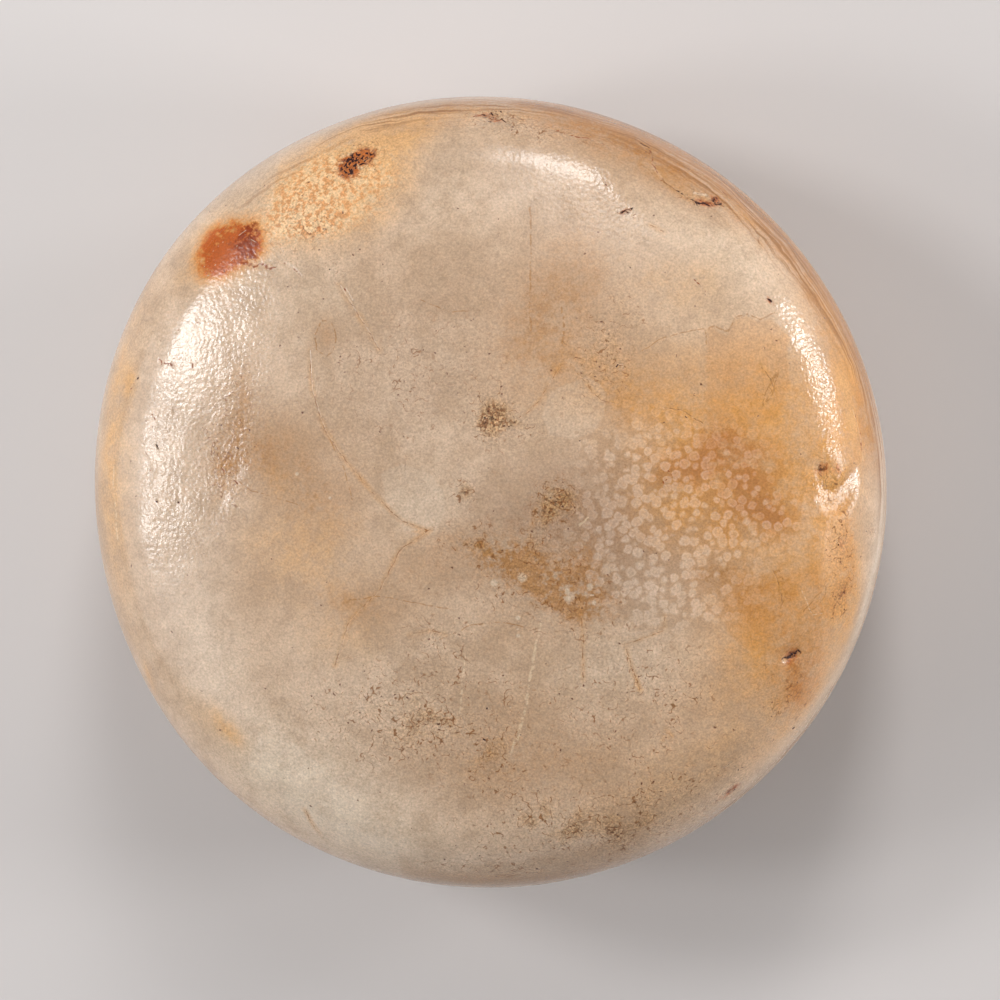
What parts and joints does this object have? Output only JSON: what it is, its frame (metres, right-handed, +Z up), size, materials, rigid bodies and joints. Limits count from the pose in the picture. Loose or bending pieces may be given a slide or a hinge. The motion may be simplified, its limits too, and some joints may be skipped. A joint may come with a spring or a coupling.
{
  "type": "stone discoidal",
  "caption": "Round game stone with two gently crowned faces and a rounded rim, ground from pale translucent chert, for rolling along the ground or for lying loose as a display piece",
  "frame": {"origin": "on the surface that the stone lies on, in the middle of its length and width", "axes": "+Z up, through both crowned faces, with the better face up; +X to the right and +Y up the pictured face"},
  "size_m": [0.0794, 0.0792, 0.0356],
  "materials": {
    "stone": "satin"
  },
  "bodies": {
    "root": {"discoidal": "stone"}
  },
  "joints": []
}
